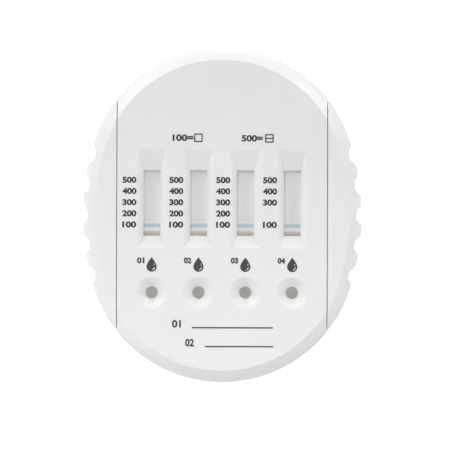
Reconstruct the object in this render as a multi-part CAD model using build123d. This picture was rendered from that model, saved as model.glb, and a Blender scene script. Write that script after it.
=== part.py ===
from build123d import *
import math
import os

# A lateral flow cassette for four test strips, in millimetres. It lies on its back on Z = 0.
# X runs across the strips, Y runs along them from the sample end to the absorbent end, and
# Z points out of the front face.

# Test strips
strip_count = 4
strip_pitch = 11.7
strip_width = 5.0
strip_length = 60.0
card_thickness = 0.3
membrane_thickness = 0.15
membrane_length = 22.1
conjugate_thickness = 0.45
conjugate_length = 10.4
sample_pad_thickness = 0.9
sample_pad_length = 18.0
absorbent_pad_thickness = 1.0
sample_lap = 2.5
membrane_lap = 2.0

# Strip channels in the base
channel_clearance = 0.1
rib_thickness = 1.0
rib_drop = 0.2
land_height = 1.8
land_length = 1.2
land_count = 7
land_inset = 3.0

# Shell: base tray, central cover and the two side grips
floor_thickness = 1.4
base_height = 3.0
headroom = 0.5
plate_thickness = 1.6
side_bay = 3.95
rail_width = 2.4
grip_width = 8.7
end_margin = 12.0
end_arc_relief = 1.25
seam_gap = 0.2
fit_clearance = 0.1
cover_skirt = 1.8
cover_skirt_rise = 0.9
ceiling_corner_run = 1.5
tongue_thickness = 0.8
tongue_height = 0.6
grip_wall = 3.2
bay_corner_radius = 0.6

# Outer edges
bevel_inset = 3.2
bevel_drop = 2.2
shoulder_cut = 1.05
back_edge_cut = 0.9
seam_corner_radius = 0.4
seam_edge_cut = 0.12
parting_step = 0.08

# Finger scallops on the side grips
scallop_count = 5
scallop_pitch = 7.6
scallop_radius = 2.5
scallop_centre_out = 1.1
scallop_corner_radius = 0.6

# Result windows, measured from the strip's sample end to the low edge of the opening
window_offset = 24.84
window_length = 16.36
window_width = 4.2
window_lip = 0.3
window_side_slope = 1.25
window_low_slope = 2.9
window_high_slope = 5.2
window_edge_cut = 0.3

# Sample wells, measured from the strip's sample end
well_offset = 10.6
well_dish_diameter = 8.3
well_hole_diameter = 3.05
well_dish_depth = 1.7
well_flare = 0.14
well_rim_width = 0.45
well_rim_drop = 0.14
well_boss_diameter = 6.6

# Pressure bars under the cover, and the hexagonal pins that join it to the base
bar_length = 1.2
pin_flats = 1.9
pin_turn = 30
pin_clearance = 0.05
pin_end_gap = 0.4
socket_flats = 3.4
high_pin_inset = 8.0
low_pin_inset = 4.6
side_pin_spacing = 30.0
grip_pin_spacing = 16.0

# Places along the strips
strip_start = -strip_length / 2
strip_end = strip_length / 2
sample_pad_end = strip_start + sample_pad_length
conjugate_start = sample_pad_end - sample_lap
conjugate_end = conjugate_start + conjugate_length
membrane_start = conjugate_end - membrane_lap
membrane_end = membrane_start + membrane_length
absorbent_start = membrane_end - membrane_lap
window_start = strip_start + window_offset
window_end = window_start + window_length
well_y = strip_start + well_offset

# Heights
land_top = floor_thickness + land_height
card_top = land_top + card_thickness
membrane_top = card_top + membrane_thickness
conjugate_top = card_top + conjugate_thickness
sample_pad_top = card_top + sample_pad_thickness
absorbent_pad_top = card_top + absorbent_pad_thickness
rib_top = sample_pad_top - rib_drop
plate_underside = sample_pad_top + headroom
body_thickness = plate_underside + plate_thickness

# Places across the strips
strip_xs = [(i - (strip_count - 1) / 2) * strip_pitch for i in range(strip_count)]
channel_half = strip_width / 2 + channel_clearance
bay_inner_x = strip_xs[-1] + channel_half + rib_thickness
rail_inner_x = bay_inner_x + side_bay
rail_outer_x = rail_inner_x + rail_width
seam_x = (rail_inner_x + rail_outer_x) / 2
cover_edge_x = seam_x - seam_gap / 2
grip_edge_x = seam_x + seam_gap / 2

# The outline is an oval of four tangent arcs: two round the ends and two flatter ones along the sides
half_width = seam_x + grip_width
half_length = strip_end + end_margin
end_radius = half_width - end_arc_relief
end_centre_y = half_length - end_radius
side_radius = (half_width**2 + end_centre_y**2 - end_radius**2) / (2 * end_arc_relief)
side_centre_x = half_width - side_radius
end_wall = cover_skirt + fit_clearance + tongue_thickness


def oval(inset):
    # The arcs keep their centres, so the inset is even all the way round.
    arc = end_radius - inset
    centre_distance = side_radius - end_radius
    join_x = -arc * side_centre_x / centre_distance
    join_y = end_centre_y + arc * end_centre_y / centre_distance
    widest = half_width - inset
    longest = half_length - inset
    outline = Curve() + [
        ThreePointArc((join_x, -join_y), (widest, 0), (join_x, join_y)),
        ThreePointArc((join_x, join_y), (0, longest), (-join_x, join_y)),
        ThreePointArc((-join_x, join_y), (-widest, 0), (-join_x, -join_y)),
        ThreePointArc((-join_x, -join_y), (0, -longest), (join_x, -join_y)),
    ]
    return make_face(outline)


def prism(face, low, high):
    return Pos(0, 0, low) * extrude(face, high - low)


def block(x_range, y_range, z_range):
    size = [span[1] - span[0] for span in (x_range, y_range, z_range)]
    return Pos(x_range[0], y_range[0], z_range[0]) * Box(*size, align=(Align.MIN,) * 3)


def slab(x_low, x_high):
    # A flat sheet between two values of X, long enough to cross the whole outline.
    middle = (x_low + x_high) / 2
    return Pos(middle, 0) * Rectangle(x_high - x_low, 2 * half_length)


def side_wall_x(inset, y):
    return side_centre_x + math.sqrt((side_radius - inset) ** 2 - y**2)


def near(vertex, centre, distance):
    tolerance = 0.001
    return abs(math.hypot(vertex.X - centre[0], vertex.Y - centre[1]) - distance) < tolerance


def scalloped_oval(inset):
    # The outline of the side grips with its finger scallops, drawn in evenly by an inset.
    notch = scallop_radius + inset
    centre_arc = side_radius + scallop_centre_out
    centres = []
    for side in (-1, 1):
        for i in range(scallop_count):
            angle = (i - (scallop_count - 1) / 2) * scallop_pitch / side_radius
            x = side_centre_x + centre_arc * math.cos(angle)
            centres.append((side * x, centre_arc * math.sin(angle)))
    outline = oval(inset)
    for centre in centres:
        outline -= Pos(*centre) * Circle(notch)
    corners = [v for v in outline.vertices() if any(near(v, c, notch) for c in centres)]
    return fillet(corners, scallop_corner_radius)


def body_form():
    # A flat front with a bevel all round, a second cut that eases it into the wall, and an eased back edge.
    form = extrude(oval(0), body_thickness)
    front = form.faces().sort_by(Axis.Z)[-1]
    form = chamfer(front.edges(), bevel_inset, bevel_drop, reference=front)
    bevel_foot = body_thickness - bevel_drop
    form = chamfer(form.edges().filter_by_position(Axis.Z, bevel_foot, bevel_foot), shoulder_cut)
    back = form.faces().sort_by(Axis.Z)[0]
    return chamfer(back.edges(), back_edge_cut)


def seam_corners(face, x):
    # Rounds the corners where a straight seam edge meets the outline.
    corners = [v for v in face.vertices() if abs(abs(v.X) - x) < seam_corner_radius / 10]
    return fillet(corners, seam_corner_radius)


def ceiling_void(gap):
    # The hollow inside the cover, with a sloped corner under the bevel that keeps the wall even.
    top = plate_underside - gap
    void = prism(oval(cover_skirt + gap), base_height, top)
    ceiling = void.faces().sort_by(Axis.Z)[-1]
    drop = plate_underside - base_height - cover_skirt_rise
    return chamfer(ceiling.edges(), ceiling_corner_run, drop, reference=ceiling)


def cover_pin_spots():
    columns = [(a + b) / 2 for a, b in zip(strip_xs, strip_xs[1:])]
    rows = [strip_end - high_pin_inset, (window_start + window_end) / 2, strip_start + low_pin_inset]
    spots = [(x, y) for x in columns for y in rows]
    bay_x = (bay_inner_x + rail_inner_x) / 2
    spots += [(x, y) for x in (-bay_x, bay_x) for y in (-side_pin_spacing / 2, side_pin_spacing / 2)]
    return spots


def grip_pin_spots(side):
    y = grip_pin_spacing / 2
    x = (rail_outer_x + side_wall_x(grip_wall, y)) / 2
    return [(side * x, -y), (side * x, y)]


def hexagon(flats):
    # A hexagon with two flats facing across the strips.
    return RegularPolygon(flats / 2, 6, major_radius=False, rotation=pin_turn)


def pin(spot):
    return Pos(*spot) * prism(hexagon(pin_flats), floor_thickness + pin_end_gap, plate_underside)


def socket(spot):
    return Pos(*spot) * prism(hexagon(socket_flats), floor_thickness, rib_top)


def socket_bore(spot):
    bore = hexagon(pin_flats + 2 * pin_clearance)
    return Pos(*spot) * prism(bore, floor_thickness, rib_top)


def strip_channel(x):
    # Two side ribs, a stop at each end of the strip and cross lands under it.
    reach = strip_end + channel_clearance
    inner = channel_half
    outer = channel_half + rib_thickness
    height = (floor_thickness, rib_top)
    walls = []
    for side in (-1, 1):
        ribs = sorted((x + side * inner, x + side * outer))
        walls.append(block(ribs, (-reach - rib_thickness, reach + rib_thickness), height))
        stops = sorted((side * reach, side * (reach + rib_thickness)))
        walls.append(block((x - outer, x + outer), stops, height))
    land_step = (strip_length - 2 * land_inset) / (land_count - 1)
    for i in range(land_count):
        y = strip_start + land_inset + i * land_step
        lands = (y - land_length / 2, y + land_length / 2)
        walls.append(block((x - inner, x + inner), lands, (floor_thickness, land_top)))
    return walls


def seam_rails():
    # Each rail carries the cover on one half of its top and a side grip on the other.
    rails = [slab(rail_inner_x, rail_outer_x), slab(-rail_outer_x, -rail_inner_x)]
    return [prism(rail, floor_thickness, plate_underside) for rail in rails]


def end_tongue():
    # A low wall that locates the cover's skirt at both ends.
    ring = oval(cover_skirt + fit_clearance) - oval(end_wall)
    return prism(ring & slab(-rail_inner_x, rail_inner_x), base_height, base_height + tongue_height)


def side_bay_face(side, inset):
    face = oval(inset) & slab(*sorted((side * rail_outer_x, side * half_width)))
    return fillet(face.vertices(), bay_corner_radius)


def make_base(form):
    base = prism(scalloped_oval(parting_step), 0, base_height) & form
    tray = oval(end_wall) & slab(-rail_inner_x, rail_inner_x)
    base -= prism(tray, floor_thickness, base_height)
    for side in (-1, 1):
        base -= prism(side_bay_face(side, grip_wall), floor_thickness, base_height)
    grip_pins = grip_pin_spots(-1) + grip_pin_spots(1)
    fittings = [wall for x in strip_xs for wall in strip_channel(x)]
    fittings += [socket(spot) for spot in cover_pin_spots()]
    under_cover = prism(oval(end_wall), floor_thickness, base_height) + ceiling_void(fit_clearance)
    under_grips = prism(oval(grip_wall + fit_clearance), floor_thickness, plate_underside)
    base += (Part() + fittings) & under_cover
    base += (Part() + seam_rails() + [socket(spot) for spot in grip_pins]) & under_grips
    base += end_tongue()
    return base - [socket_bore(spot) for spot in cover_pin_spots() + grip_pins]


def funnel_wedge(plane, opening, mouth, reach):
    # A wedge that narrows from the mouth at the front face down to the opening.
    lip_top = plate_underside + window_lip
    floor_corners = [(end, lip_top) for end in opening]
    mouth_corners = [(end, body_thickness) for end in reversed(mouth)]
    return extrude(plane * Polygon(*floor_corners, *mouth_corners, align=None), reach, both=True)


def window_funnel(x):
    # Four slopes run down from the mouth to the opening, the one at the absorbent end the longest.
    half = window_width / 2
    mouth_half = half + window_side_slope
    mouth = (window_start - window_low_slope, window_end + window_high_slope)
    along = funnel_wedge(Plane.YZ.offset(x), (window_start, window_end), mouth, mouth_half)
    across = funnel_wedge(Plane.XZ, (x - half, x + half), (x - mouth_half, x + mouth_half), half_length)
    opening = (x - half, x + half), (window_start, window_end)
    return (along & across) + block(*opening, (plate_underside, plate_underside + window_lip))


def well_cutter(x):
    # An eased rim, then a dish that steepens towards the hole, like the mouth of a trumpet.
    hole = well_hole_diameter / 2
    rim = well_dish_diameter / 2
    dish = rim - well_rim_width
    dish_top = body_thickness - well_rim_drop
    dish_floor = body_thickness - well_dish_depth
    flare = ((hole + dish) / 2, (dish_floor + dish_top) / 2 + well_flare)
    section = [(0, sample_pad_top), (hole, sample_pad_top), (hole, dish_floor), flare, (dish, dish_top)]
    section += [(rim, body_thickness), (0, body_thickness)]
    return Pos(x, well_y) * revolve(Plane.XZ * Polygon(*section, align=None), Axis.Z)


def well_boss(x):
    ring = Circle(well_boss_diameter / 2)
    return Pos(x, well_y) * prism(ring, sample_pad_top, plate_underside)


def pressure_bars(x):
    # One bar holds the sample pad down on the conjugate pad, the other the absorbent pad on the membrane.
    bars = []
    for lap_start, lap, top in (
        (conjugate_start, sample_lap, sample_pad_top),
        (absorbent_start, membrane_lap, absorbent_pad_top),
    ):
        y = lap_start + lap / 2
        across = (x - strip_width / 2, x + strip_width / 2)
        bars.append(block(across, (y - bar_length / 2, y + bar_length / 2), (top, plate_underside)))
    return bars


def front_edges(part):
    edges = part.edges().filter_by(GeomType.LINE)
    return edges.filter_by_position(Axis.Z, body_thickness, body_thickness)


def ease_seam(part, x):
    # Takes the sharp front edge off a seam.
    seam = [edge for edge in front_edges(part) if abs(abs(edge.center().X) - x) < seam_edge_cut]
    return chamfer(seam, seam_edge_cut)


def make_cover(form):
    outline = seam_corners(oval(0) & slab(-cover_edge_x, cover_edge_x), cover_edge_x)
    cover = ease_seam(prism(outline, base_height, body_thickness) & form, cover_edge_x)
    cover -= ceiling_void(0)
    for x in strip_xs:
        cover -= window_funnel(x)
    seam_side = cover_edge_x - seam_edge_cut
    mouths = [edge for edge in front_edges(cover) if abs(edge.center().X) < seam_side - seam_edge_cut]
    cover = chamfer(mouths, window_edge_cut)
    for x in strip_xs:
        cover += well_boss(x)
        cover += pressure_bars(x)
        cover -= well_cutter(x)
    return cover + [pin(spot) for spot in cover_pin_spots()]


def make_right_grip(form):
    outline = scalloped_oval(0) & slab(grip_edge_x, half_width)
    blank = prism(seam_corners(outline, grip_edge_x), base_height, body_thickness) & form
    grip = ease_seam(blank, grip_edge_x) - prism(oval(grip_wall), base_height, plate_underside)
    return grip + [pin(spot) for spot in grip_pin_spots(1)]


def flat_layer(x, y_range, z_range):
    return block((x - strip_width / 2, x + strip_width / 2), y_range, z_range)


def lapped_pad(x, y_range, lap_range, bottom_in_lap, top):
    # A pad on the backing card whose one end lies over the layer before or after it.
    pad = flat_layer(x, y_range, (card_top, top))
    return pad - flat_layer(x, lap_range, (card_top, bottom_in_lap))


def make_strip(x):
    return {
        "backing_card": flat_layer(x, (strip_start, strip_end), (land_top, card_top)),
        "membrane": flat_layer(x, (membrane_start, membrane_end), (card_top, membrane_top)),
        "conjugate_pad": lapped_pad(
            x, (conjugate_start, conjugate_end), (membrane_start, conjugate_end), membrane_top, conjugate_top
        ),
        "sample_pad": lapped_pad(
            x, (strip_start, sample_pad_end), (conjugate_start, sample_pad_end), conjugate_top, sample_pad_top
        ),
        "absorbent_pad": lapped_pad(
            x, (absorbent_start, strip_end), (absorbent_start, membrane_end), membrane_top, absorbent_pad_top
        ),
    }


def make_parts():
    form = body_form()
    right_grip = make_right_grip(form)
    parts = {
        "base": make_base(form),
        "cover": make_cover(form),
        "side_grip_left": mirror(right_grip, Plane.YZ),
        "side_grip_right": right_grip,
    }
    for number, x in enumerate(strip_xs, start=1):
        for name, piece in make_strip(x).items():
            parts[f"{name}_{number}"] = piece
    return parts


os.makedirs("parts", exist_ok=True)
for name, part in make_parts().items():
    part.label = name
    export_step(part, f"parts/{name}.step")
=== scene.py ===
import math

import bmesh
import bpy
from mathutils import Matrix, Vector


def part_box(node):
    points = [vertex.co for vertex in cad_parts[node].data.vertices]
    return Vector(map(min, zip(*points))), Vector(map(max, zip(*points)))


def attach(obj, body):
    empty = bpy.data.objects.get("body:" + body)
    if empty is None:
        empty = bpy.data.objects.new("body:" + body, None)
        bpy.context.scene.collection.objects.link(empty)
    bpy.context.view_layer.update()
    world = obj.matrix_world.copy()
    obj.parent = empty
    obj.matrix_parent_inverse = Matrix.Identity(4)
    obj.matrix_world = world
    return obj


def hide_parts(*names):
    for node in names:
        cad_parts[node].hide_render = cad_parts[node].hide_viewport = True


# A lateral flow cassette lying on a pale bench. X runs across its strips, Y along them and Z out
# of its front.
mm = 0.001
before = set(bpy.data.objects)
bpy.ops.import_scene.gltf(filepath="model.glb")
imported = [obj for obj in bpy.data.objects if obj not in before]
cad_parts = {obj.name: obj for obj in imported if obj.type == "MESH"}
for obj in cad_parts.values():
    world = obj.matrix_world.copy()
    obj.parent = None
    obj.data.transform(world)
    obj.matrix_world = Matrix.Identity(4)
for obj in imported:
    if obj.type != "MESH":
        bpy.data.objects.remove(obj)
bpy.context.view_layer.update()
body = "root"
stripCount = 4
print("frame loaded,", len(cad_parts), "nodes")


def middleX(node):
    low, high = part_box(node)
    return ((low + high) / 2).x


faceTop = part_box("cover")[1].z
stripX = [middleX(f"membrane_{i}") for i in range(1, stripCount + 1)]


# Materials

def newMaterial(name, colour, roughness):
    material = bpy.data.materials.new(name)
    material.use_nodes = True
    shader = material.node_tree.nodes["Principled BSDF"]
    shader.inputs["Base Color"].default_value = (*colour, 1)
    shader.inputs["Roughness"].default_value = roughness
    return material, material.node_tree, shader


def addNode(tree, kind, **values):
    node = tree.nodes.new(kind)
    for name, value in values.items():
        setattr(node, name, value)
    return node


def millimetres(tree, stretch=(1, 1, 1)):
    # Object coordinates in millimetres, so noise of scale 1 has features about a millimetre wide
    where = addNode(tree, "ShaderNodeTexCoord")
    mapping = addNode(tree, "ShaderNodeMapping")
    mapping.inputs["Scale"].default_value = [s / mm for s in stretch]
    tree.links.new(where.outputs["Object"], mapping.inputs["Vector"])
    return mapping.outputs["Vector"]


def noise(tree, vector, scale, detail=4, roughness=0.5):
    texture = addNode(tree, "ShaderNodeTexNoise")
    texture.inputs["Scale"].default_value = scale
    texture.inputs["Detail"].default_value = detail
    texture.inputs["Roughness"].default_value = roughness
    tree.links.new(vector, texture.inputs["Vector"])
    return texture.outputs["Fac"]


def ramp(tree, value, stops):
    # Colours, or greys for a single number, at places from 0 to 1
    stops = list(stops)
    node = addNode(tree, "ShaderNodeValToRGB")
    band = node.color_ramp
    while len(band.elements) < len(stops):
        band.elements.new(1)
    for element, (place, colour) in zip(band.elements, stops):
        element.position = place
        grey = (colour,) * 3 if isinstance(colour, (int, float)) else colour
        element.color = (*grey, 1)
    tree.links.new(value, node.inputs["Fac"])
    return node.outputs["Color"]


def darkToLight(tree, pattern, look):
    # The finish's two colours, where the pattern passes the two places of its spread
    start, end = look["spread"]
    return ramp(tree, pattern, [(start, look["dark"]), (end, look["light"])])


def multiply(tree, first, second):
    node = addNode(tree, "ShaderNodeMix", data_type="RGBA", blend_type="MULTIPLY")
    node.inputs["Factor"].default_value = 1.0
    tree.links.new(first, node.inputs["A"])
    tree.links.new(second, node.inputs["B"])
    return node.outputs["Result"]


def bump(tree, height, distance, before=None):
    node = addNode(tree, "ShaderNodeBump")
    node.inputs["Distance"].default_value = distance
    node.inputs["Strength"].default_value = 1.0
    tree.links.new(height, node.inputs["Height"])
    if before:
        tree.links.new(before, node.inputs["Normal"])
    return node.outputs["Normal"]


shellFinish = {
    "light": (0.872, 0.872, 0.862),   # the moulding's white at its lightest
    "dark": (0.850, 0.850, 0.838),
    "spread": (0.3, 0.7),
    "flowScale": 0.06,                # slow drift in the white, per millimetre
    "roughness": (0.40, 0.50),
    "grainSpread": (0.25, 0.75),
    "grainScale": 5.0,
    "grainDepth": 0.0016 * mm,
    "waveScale": 0.35,
    "waveDepth": 0.004 * mm,
    "glowThrough": 0.6,               # light wanders inside the plastic and softens its edges
    "reach": (1.0, 0.98, 0.94),
    "reachScale": 0.5 * mm,
}


def shellPlastic():
    look = shellFinish
    material, tree, shader = newMaterial("whiteSatinPlastic", look["light"], look["roughness"][0])
    where = millimetres(tree)
    flow = noise(tree, where, look["flowScale"], detail=3)
    tree.links.new(darkToLight(tree, flow, look), shader.inputs["Base Color"])
    grain = noise(tree, where, look["grainScale"], detail=2)
    rough = ramp(tree, grain, zip(look["grainSpread"], look["roughness"]))
    tree.links.new(rough, shader.inputs["Roughness"])
    wave = bump(tree, noise(tree, where, look["waveScale"], detail=1), look["waveDepth"])
    tree.links.new(bump(tree, grain, look["grainDepth"], before=wave), shader.inputs["Normal"])
    shader.inputs["Subsurface Weight"].default_value = look["glowThrough"]
    shader.inputs["Subsurface Radius"].default_value = look["reach"]
    shader.inputs["Subsurface Scale"].default_value = look["reachScale"]
    return material


cardFinish = {
    "light": (0.86, 0.86, 0.85),
    "dark": (0.80, 0.80, 0.78),
    "spread": (0.3, 0.7),
    "roughness": 0.4,
    "grainScale": 2.0,
    "grainDepth": 0.002 * mm,
}


def cardPlastic():
    look = cardFinish
    material, tree, shader = newMaterial("stripCard", look["light"], look["roughness"])
    where = millimetres(tree)
    grain = noise(tree, where, look["grainScale"])
    tree.links.new(darkToLight(tree, grain, look), shader.inputs["Base Color"])
    tree.links.new(bump(tree, grain, look["grainDepth"]), shader.inputs["Normal"])
    return material


membraneFinish = {
    "light": (0.98, 0.985, 0.975),
    "dark": (0.955, 0.955, 0.94),
    "spread": (0.3, 0.65),
    "poreScale": 3.0,
    "poreDepth": 0.006 * mm,
    "controlLine": (0.56, 0.79, 0.83),
    "controlY": -2.63,                # millimetres from the middle of the strip
    "controlWidth": 0.9,
    "edge": 0.55,                     # how wide the dye's bleed is at each side of a line
    "ragged": 0.12,                   # how far a line wanders, in millimetres
    "raggedScale": 1.6,
    "faintLine": (0.92, 0.90, 0.85),
    "faintY": -1.1,
    "faintWidth": 0.25,
    "roughness": 0.9,
}


def lineMask(tree, along, middle, width, edge):
    # 1 on a line across the strip, falling to 0 over the bleed at its sides
    offset = addNode(tree, "ShaderNodeMath", operation="SUBTRACT")
    offset.inputs[1].default_value = middle
    tree.links.new(along, offset.inputs[0])
    away = addNode(tree, "ShaderNodeMath", operation="ABSOLUTE")
    tree.links.new(offset.outputs[0], away.inputs[0])
    fall = addNode(tree, "ShaderNodeMapRange", interpolation_type="SMOOTHSTEP")
    fall.inputs["From Min"].default_value = width / 2 + edge / 2
    fall.inputs["From Max"].default_value = max(width / 2 - edge / 2, 0)
    tree.links.new(away.outputs[0], fall.inputs["Value"])
    return fall.outputs["Result"]


def membraneFabric():
    look = membraneFinish
    material, tree, shader = newMaterial("nitrocellulose", look["light"], look["roughness"])
    where = millimetres(tree)
    pores = noise(tree, where, look["poreScale"], detail=6, roughness=0.7)
    paper = darkToLight(tree, pores, look)
    split = addNode(tree, "ShaderNodeSeparateXYZ")
    tree.links.new(where, split.inputs["Vector"])
    ragged = addNode(tree, "ShaderNodeMath", operation="MULTIPLY_ADD")
    ragged.inputs[1].default_value = look["ragged"]
    tree.links.new(noise(tree, where, look["raggedScale"]), ragged.inputs[0])
    tree.links.new(split.outputs["Y"], ragged.inputs[2])
    for colour, middle, width in (
        (look["faintLine"], look["faintY"], look["faintWidth"]),
        (look["controlLine"], look["controlY"], look["controlWidth"]),
    ):
        mask = lineMask(tree, ragged.outputs[0], middle, width, look["edge"])
        dye = addNode(tree, "ShaderNodeMix", data_type="RGBA")
        dye.inputs["B"].default_value = (*colour, 1)
        tree.links.new(mask, dye.inputs["Factor"])
        tree.links.new(paper, dye.inputs["A"])
        paper = dye.outputs["Result"]
    tree.links.new(paper, shader.inputs["Base Color"])
    tree.links.new(bump(tree, pores, look["poreDepth"]), shader.inputs["Normal"])
    return material


padFinishes = {
    "conjugate": {"light": (0.86, 0.82, 0.78), "dark": (0.76, 0.71, 0.67), "stretch": (1, 0.25, 1)},
    "sample": {"light": (0.54, 0.53, 0.50), "dark": (0.39, 0.38, 0.355), "stretch": (1, 0.4, 1)},
    "absorbent": {"light": (0.86, 0.86, 0.83), "dark": (0.74, 0.74, 0.71), "stretch": (1, 0.6, 1)},
}
fibreFinish = {
    "spread": (0.32, 0.62),
    "roughness": 0.95,
    "fibreScale": 4.0,
    "fibreDepth": 0.03 * mm,
    "clumpScale": 0.9,
    "clumpSpread": (0.2, 0.7),
    "clumpShade": (0.88, 1.0),
}


def padFibre(kind):
    # Matted fibres that run mostly along the strip
    look = {**fibreFinish, **padFinishes[kind]}
    material, tree, shader = newMaterial(kind + "Fibre", look["light"], look["roughness"])
    where = millimetres(tree, look["stretch"])
    fibres = noise(tree, where, look["fibreScale"], detail=8, roughness=0.75)
    clumps = noise(tree, where, look["clumpScale"], detail=3)
    colour = darkToLight(tree, fibres, look)
    patches = ramp(tree, clumps, zip(look["clumpSpread"], look["clumpShade"]))
    tree.links.new(multiply(tree, colour, patches), shader.inputs["Base Color"])
    tree.links.new(bump(tree, fibres, look["fibreDepth"]), shader.inputs["Normal"])
    return material


inkFinish = {
    "dark": (0.010, 0.011, 0.011),    # where the ink lies thick
    "light": (0.022, 0.022, 0.022),
    "spread": (0.35, 0.75),
    "roughness": 0.6,
    "coverScale": 6.0,
    "coverDepth": 0.002 * mm,
    "height": 0.012 * mm,
    "weld": 0.001,                    # how far apart doubles may be in an outline, in millimetres
}


def padPrintInk():
    look = inkFinish
    material, tree, shader = newMaterial("padPrintInk", look["dark"], look["roughness"])
    cover = noise(tree, millimetres(tree), look["coverScale"])
    tree.links.new(darkToLight(tree, cover, look), shader.inputs["Base Color"])
    tree.links.new(bump(tree, cover, look["coverDepth"]), shader.inputs["Normal"])
    return material


# Pieces

def link(piece, material):
    bpy.context.scene.collection.objects.link(piece)
    piece.data.materials.clear()
    piece.data.materials.append(material)
    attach(piece, body)
    return piece


shellSkin = {
    "mergeDistance": 0.002 * mm,
    "flatAngle": math.radians(0.5),
    # an edge is a crease from the rim angle on where it is long, level and near the front face,
    # from the front angle on elsewhere at the front, and from the side angle on lower down
    "rimAngle": math.radians(4),
    "rimDepth": 0.4 * mm,
    "rimLength": 1.5 * mm,
    "frontAngle": math.radians(22),
    "frontDepth": 1.45 * mm,
    "sideAngle": math.radians(40),
}


def shellPiece(nodeName, pieceName, material):
    # The node's loose triangles as one closed skin, with its flat faces whole and its curves smooth
    look = shellSkin
    work = bmesh.new()
    work.from_mesh(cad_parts[nodeName].data)
    bmesh.ops.remove_doubles(work, verts=work.verts, dist=look["mergeDistance"])
    bmesh.ops.dissolve_limit(
        work, angle_limit=look["flatAngle"], verts=work.verts, edges=work.edges
    )
    for face in work.faces:
        face.smooth = True
    for edge in work.edges:
        low, high = sorted(v.co.z for v in edge.verts)
        level = high - low < look["mergeDistance"] and edge.calc_length() > look["rimLength"]
        if level and low > faceTop - look["rimDepth"]:
            limit = look["rimAngle"]
        elif low > faceTop - look["frontDepth"]:
            limit = look["frontAngle"]
        else:
            limit = look["sideAngle"]
        edge.smooth = edge.calc_face_angle() < limit
    mesh = bpy.data.meshes.new(pieceName)
    work.to_mesh(mesh)
    work.free()
    # the frame's own normals go, so that the creases above count
    if "custom_normal" in mesh.attributes:
        mesh.attributes.remove(mesh.attributes["custom_normal"])
    piece = link(bpy.data.objects.new(pieceName, mesh), material)
    even = piece.modifiers.new("evenShading", "WEIGHTED_NORMAL")
    even.mode = "FACE_AREA"
    even.keep_sharp = True
    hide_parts(nodeName)
    return piece


white = shellPlastic()
for nodeName, pieceName in (
    ("base", "baseTray"),
    ("cover", "frontCover"),
    ("side_grip_left", "sideGripLeft"),
    ("side_grip_right", "sideGripRight"),
):
    shellPiece(nodeName, pieceName, white)
print("shells made")

stripMaterials = {
    "backing_card": cardPlastic(),
    "membrane": membraneFabric(),
    "conjugate_pad": padFibre("conjugate"),
    "sample_pad": padFibre("sample"),
    "absorbent_pad": padFibre("absorbent"),
}
for layer, material in stripMaterials.items():
    for i in range(1, stripCount + 1):
        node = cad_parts[f"{layer}_{i}"]
        node.data.materials.clear()
        node.data.materials.append(material)
print("strips finished")


# Print on the front face, all of it plain numbers and marks

ink = padPrintInk()
printPieces = []
curveSteps = 6
quarterHandle = 0.55                  # share of a radius that makes a quarter circle's handle


def inkFilm(mesh, pieceName):
    # A flat outline in millimetres on the front plane becomes a thin film of ink on the face
    work = bmesh.new()
    work.from_mesh(mesh)
    bmesh.ops.remove_doubles(work, verts=work.verts, dist=inkFinish["weld"])
    bmesh.ops.scale(work, vec=(mm, mm, 1), verts=work.verts)
    bmesh.ops.translate(work, vec=(0, 0, faceTop), verts=work.verts)
    film = bmesh.ops.extrude_face_region(work, geom=work.faces[:])
    raised = [v for v in film["geom"] if isinstance(v, bmesh.types.BMVert)]
    bmesh.ops.translate(work, vec=(0, 0, inkFinish["height"]), verts=raised)
    bmesh.ops.recalc_face_normals(work, faces=work.faces)
    printed = bpy.data.meshes.new(pieceName)
    work.to_mesh(printed)
    work.free()
    printPieces.append(link(bpy.data.objects.new(pieceName, printed), ink))


def curveMesh(curve):
    # The flat mesh that a filled curve or a text gives
    drawn = bpy.data.objects.new(curve.name, curve)
    bpy.context.scene.collection.objects.link(drawn)
    bpy.context.view_layer.update()
    ready = bpy.context.evaluated_depsgraph_get()
    mesh = bpy.data.meshes.new_from_object(drawn.evaluated_get(ready))
    bpy.data.objects.remove(drawn)
    return mesh


def closedCurve(name, loops, steps):
    # Closed outlines of (point, handle before, handle after), an inner one of which is a hole
    curve = bpy.data.curves.new(name, "CURVE")
    curve.dimensions = "2D"
    curve.fill_mode = "BOTH"
    curve.resolution_u = steps
    for loop in loops:
        spline = curve.splines.new("BEZIER")
        spline.bezier_points.add(len(loop) - 1)
        spline.use_cyclic_u = True
        for corner, (at, before, after) in zip(spline.bezier_points, loop):
            corner.co = (*at, 0)
            corner.handle_left = (*before, 0)
            corner.handle_right = (*after, 0)
    return curve


def numberMesh(text, centre, height, width, weight):
    # The text's flat mesh, stretched to its height and width in millimetres about its centre
    curve = bpy.data.curves.new("numberCurve", "FONT")
    curve.body = text
    curve.offset = weight
    curve.resolution_u = curveSteps
    mesh = curveMesh(curve)
    xs = [v.co.x for v in mesh.vertices]
    ys = [v.co.y for v in mesh.vertices]
    stretch = Matrix.Diagonal((width / (max(xs) - min(xs)), height / (max(ys) - min(ys)), 1, 1))
    middle = Vector(((max(xs) + min(xs)) / 2, (max(ys) + min(ys)) / 2, 0))
    mesh.transform(Matrix.Translation((*centre, 0)) @ stretch @ Matrix.Translation(-middle))
    return mesh


scalePrint = {
    "numbers": ("500", "400", "300", "200", "100"),
    "leftOfWindow": 5.6,
    "topY": 8.75,
    "pitch": 2.785,
    "height": 1.55,
    "width": 3.5,
    "weight": 0.042,
    "leftOut": {(4, 3)},              # column and row with no number
}


def printScales():
    look = scalePrint
    for column, x in enumerate(stripX, start=1):
        for row, number in enumerate(look["numbers"]):
            if (column, row) in look["leftOut"]:
                continue
            centre = (x / mm - look["leftOfWindow"], look["topY"] - row * look["pitch"])
            mesh = numberMesh(number, centre, look["height"], look["width"], look["weight"])
            inkFilm(mesh, f"scaleNumber_{column}_{row + 1}")


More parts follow.
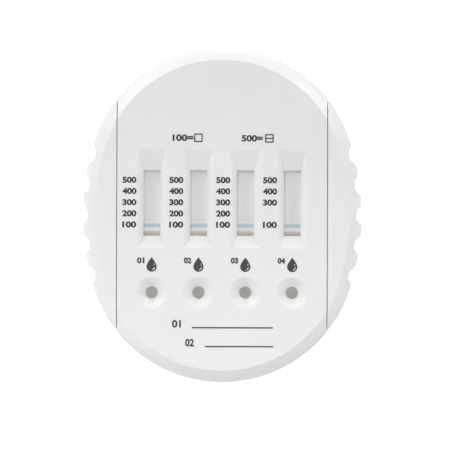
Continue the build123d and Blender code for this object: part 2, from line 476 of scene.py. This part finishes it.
legendPrint = {
    "left": {
        "text": "100=", "centre": (-9.82, 19.3), "width": 5.2, "box": (-5.98, 19.3), "barred": False
    },
    "right": {
        "text": "500=", "centre": (7.45, 19.2), "width": 5.3, "box": (11.75, 19.2), "barred": True
    },
    "height": 1.65,
    "weight": 0.040,
    "boxSize": 2.15,
    "line": 0.3,
    "corner": 0.22,
}


def roundedSquare(half, corner):
    # Its outline as curve points, with short handles round each corner
    reach = half - corner
    pull = corner * quarterHandle
    places = []
    for sideX, sideY in ((1, 1), (-1, 1), (-1, -1), (1, -1)):
        first = (sideX * half, sideY * reach)
        second = (sideX * reach, sideY * half)
        firstHandle = (sideX * half, sideY * (reach + pull))
        secondHandle = (sideX * (reach + pull), sideY * half)
        if sideX * sideY > 0:
            places += [(first, first, firstHandle), (second, secondHandle, second)]
        else:
            places += [(second, second, secondHandle), (first, firstHandle, first)]
    return places


def boxMark(centre, size, line, corner, barred):
    # A square ring with rounded corners, and a bar across its middle if the mark has one
    outer = roundedSquare(size / 2, corner)
    inner = roundedSquare(size / 2 - line, corner / 2)
    work = bmesh.new()
    work.from_mesh(curveMesh(closedCurve("boxRing", [outer, inner], curveSteps)))
    if barred:
        reach = size / 2 - line
        bar = bmesh.ops.create_grid(work, x_segments=1, y_segments=1, size=1)
        bmesh.ops.scale(work, vec=(reach, line / 2, 1), verts=bar["verts"])
    bmesh.ops.translate(work, vec=(*centre, 0), verts=work.verts)
    mesh = bpy.data.meshes.new("boxMark")
    work.to_mesh(mesh)
    work.free()
    return mesh


def printLegends():
    look = legendPrint
    for side in ("left", "right"):
        mark = look[side]
        number = numberMesh(
            mark["text"], mark["centre"], look["height"], mark["width"], look["weight"]
        )
        inkFilm(number, f"legendNumber_{side}")
        box = boxMark(mark["box"], look["boxSize"], look["line"], look["corner"], mark["barred"])
        inkFilm(box, f"legendBox_{side}")


dropPrint = {
    "width": 2.55,
    "height": 3.66,
    "topY": -10.5,
    "curveSteps": 12,
    # the rest are shares of the drop's radius: how high the flanks stay full, how far aside and
    # down the tip's handles go, and the ends and bows of the highlight and of the glint above it
    "waist": 0.62,
    "tip": (0.26, 0.42),
    "shine": {
        "top": (0.66, 0.10), "foot": (-0.02, -0.72), "outer": (0.62, -0.52), "inner": (0.40, -0.36)
    },
    "glint": {"at": (0.50, 0.42), "long": 0.22, "wide": 0.10},
    # the number beside it, in millimetres again
    "number": {"left": 2.72, "y": -11.35, "height": 1.45, "width": 1.85, "weight": 0.045},
}


def dropMesh(x, look):
    # A drop with a crescent and a glint left open on its right
    radius = look["width"] / 2
    rise = look["height"] - radius
    hold = radius * quarterHandle
    flank = radius * look["waist"]
    tipX, tipY = radius * look["tip"][0], rise - radius * look["tip"][1]
    outline = [
        ((0, -radius), (-hold, -radius), (hold, -radius)),
        ((radius, 0), (radius, -hold), (radius, flank)),
        ((0, rise), (tipX, tipY), (-tipX, tipY)),
        ((-radius, 0), (-radius, flank), (-radius, -hold)),
    ]
    shine = {name: (px * radius, py * radius) for name, (px, py) in look["shine"].items()}
    crescent = [
        (shine["top"], shine["inner"], shine["outer"]),
        (shine["foot"], shine["outer"], shine["inner"]),
    ]
    glint = look["glint"]
    glintX, glintY = glint["at"][0] * radius, glint["at"][1] * radius
    along, across = glint["long"] * radius, glint["wide"] * radius
    spark = [
        (
            (glintX, glintY - along),
            (glintX - across, glintY - along),
            (glintX + across, glintY - along),
        ),
        (
            (glintX, glintY + along),
            (glintX + across, glintY + along),
            (glintX - across, glintY + along),
        ),
    ]
    mesh = curveMesh(closedCurve("dropOutline", [outline, crescent, spark], look["curveSteps"]))
    mesh.transform(Matrix.Translation((x / mm, look["topY"] - rise, 0)))
    return mesh


def printDrops():
    look = dropPrint
    for column, x in enumerate(stripX, start=1):
        inkFilm(dropMesh(x, look), f"drop_{column}")
        number = look["number"]
        centre = (x / mm - number["left"], number["y"])
        mesh = numberMesh(f"0{column}", centre, number["height"], number["width"], number["weight"])
        inkFilm(mesh, f"wellNumber_{column}")


linePrint = {
    "line_1": {"y": -28.1, "from": -7.45, "to": 12.75, "number": "01", "numberX": -11.3},
    "line_2": {"y": -32.8, "from": -4.2, "to": 12.85, "number": "02", "numberX": -8.0},
    "thickness": 0.33,
    "numberUp": 0.95,
    "numberHeight": 1.9,
    "numberWidth": 2.2,
    "weight": 0.030,
}


def printLines():
    look = linePrint
    for name in ("line_1", "line_2"):
        line = look[name]
        work = bmesh.new()
        bmesh.ops.create_grid(work, x_segments=1, y_segments=1, size=0.5)
        length = line["to"] - line["from"]
        bmesh.ops.scale(work, vec=(length, look["thickness"], 1), verts=work.verts)
        middle = (line["to"] + line["from"]) / 2
        bmesh.ops.translate(work, vec=(middle, line["y"], 0), verts=work.verts)
        mesh = bpy.data.meshes.new("writingLine")
        work.to_mesh(mesh)
        work.free()
        inkFilm(mesh, f"writing_{name}")
        centre = (line["numberX"], line["y"] + look["numberUp"])
        number = numberMesh(
            line["number"], centre, look["numberHeight"], look["numberWidth"], look["weight"]
        )
        inkFilm(number, f"number_{name}")


printScales()
printLegends()
printDrops()
printLines()
print("print made,", len(printPieces), "pieces")


# Bench, light and camera

stageLook = {
    "benchSize": 1.6,
    "benchColour": (0.86, 0.86, 0.86),
    "benchRoughness": 0.9,
    "benchGap": 0.02 * mm,            # how far it lies below the cassette's back
    "glow": 0.55,                     # what the camera alone sees on top of the bench's own light
    "roomLight": 0.03,
}


def isSeen(tree):
    # 1 for what the camera sees, straight or in a reflection
    path = addNode(tree, "ShaderNodeLightPath")
    first = addNode(tree, "ShaderNodeMath", operation="MAXIMUM")
    tree.links.new(path.outputs["Is Camera Ray"], first.inputs[0])
    tree.links.new(path.outputs["Is Glossy Ray"], first.inputs[1])
    second = addNode(tree, "ShaderNodeMath", operation="MAXIMUM")
    tree.links.new(first.outputs[0], second.inputs[0])
    tree.links.new(path.outputs["Is Transmission Ray"], second.inputs[1])
    return second.outputs[0]


def makeBench():
    look = stageLook
    work = bmesh.new()
    bmesh.ops.create_grid(work, x_segments=1, y_segments=1, size=look["benchSize"])
    bmesh.ops.translate(work, vec=(0, 0, -look["benchGap"]), verts=work.verts)
    mesh = bpy.data.meshes.new("bench")
    work.to_mesh(mesh)
    work.free()
    bench = bpy.data.objects.new("bench", mesh)
    bpy.context.scene.collection.objects.link(bench)
    material, tree, shader = newMaterial("benchTop", look["benchColour"], look["benchRoughness"])
    shader.inputs["Emission Color"].default_value = (1, 1, 1, 1)
    glow = addNode(tree, "ShaderNodeMath", operation="MULTIPLY")
    glow.inputs[1].default_value = look["glow"]
    tree.links.new(isSeen(tree), glow.inputs[0])
    tree.links.new(glow.outputs[0], shader.inputs["Emission Strength"])
    mesh.materials.append(material)


def makeWorld():
    look = stageLook
    world = bpy.data.worlds.new("studio")
    world.use_nodes = True
    bpy.context.scene.world = world
    tree = world.node_tree
    sky = tree.nodes["Background"]
    sky.inputs["Color"].default_value = (1, 1, 1, 1)
    strength = addNode(tree, "ShaderNodeMapRange")
    strength.inputs["To Min"].default_value = look["roomLight"]
    strength.inputs["To Max"].default_value = 1.0
    tree.links.new(isSeen(tree), strength.inputs["Value"])
    tree.links.new(strength.outputs["Result"], sky.inputs["Strength"])


lamps = {
    # degrees round from +X and up from the bench, metres away, size in metres, power in watts
    "lowFromUpperRight": {"round": 45, "up": 15, "away": 0.50, "size": 0.25, "power": 1.28},
    "lowFromUpperLeft": {"round": 135, "up": 15, "away": 0.50, "size": 0.25, "power": 1.20},
    "softFromUpperLeft": {"round": 135, "up": 40, "away": 0.85, "size": 0.40, "power": 0.30},
    "highFromUpperLeft": {"round": 118, "up": 70, "away": 0.90, "size": 0.40, "power": 1.95},
    "overSampleEnd": {"round": -90, "up": 70, "away": 0.20, "size": 0.12, "power": 0.118},
    "cardAtRightCorner": {"round": -45, "up": 20, "away": 0.16, "size": 0.10, "power": 0.044},
    "cardAtLeftCorner": {"round": -135, "up": 20, "away": 0.16, "size": 0.10, "power": 0.058},
}


def makeLamps():
    for name, look in lamps.items():
        light = bpy.data.lights.new(name, "AREA")
        light.size = look["size"]
        light.energy = look["power"]
        lamp = bpy.data.objects.new(name, light)
        around, up = math.radians(look["round"]), math.radians(look["up"])
        flat = math.cos(up)
        toward = Vector((math.cos(around) * flat, math.sin(around) * flat, math.sin(up)))
        lamp.location = toward * look["away"]
        lamp.rotation_euler = (-toward).to_track_quat("-Z", "Y").to_euler()
        bpy.context.scene.collection.objects.link(lamp)


cameraLook = {
    "distance": 0.55,
    "aim": (0.70, -2.45),             # millimetres on the front face, in the middle of the picture
    "above": (0.70, 9.0),             # what it stands straight above
    "lens": 176.3,
    "sensor": 36.0,
    "reach": (0.01, 10.0),            # the nearest and farthest it sees, in metres
    "roll": 0.2,                      # degrees
}


def makeCamera():
    # It looks straight down, and a small shift brings the aim to the middle
    look = cameraLook
    data = bpy.data.cameras.new("camera")
    data.lens = look["lens"]
    data.sensor_width = look["sensor"]
    data.clip_start, data.clip_end = look["reach"]
    wide = data.sensor_width / data.lens * look["distance"] / mm
    data.shift_x = (look["aim"][0] - look["above"][0]) / wide
    data.shift_y = (look["aim"][1] - look["above"][1]) / wide
    camera = bpy.data.objects.new("camera", data)
    bpy.context.scene.collection.objects.link(camera)
    bpy.context.scene.camera = camera
    across, along = look["above"]
    camera.location = (across * mm, along * mm, faceTop + look["distance"])
    camera.rotation_euler.z = math.radians(look["roll"])


makeBench()
makeWorld()
makeLamps()
makeCamera()
bpy.context.scene.view_settings.view_transform = "Standard"
print("stage, light and camera set")
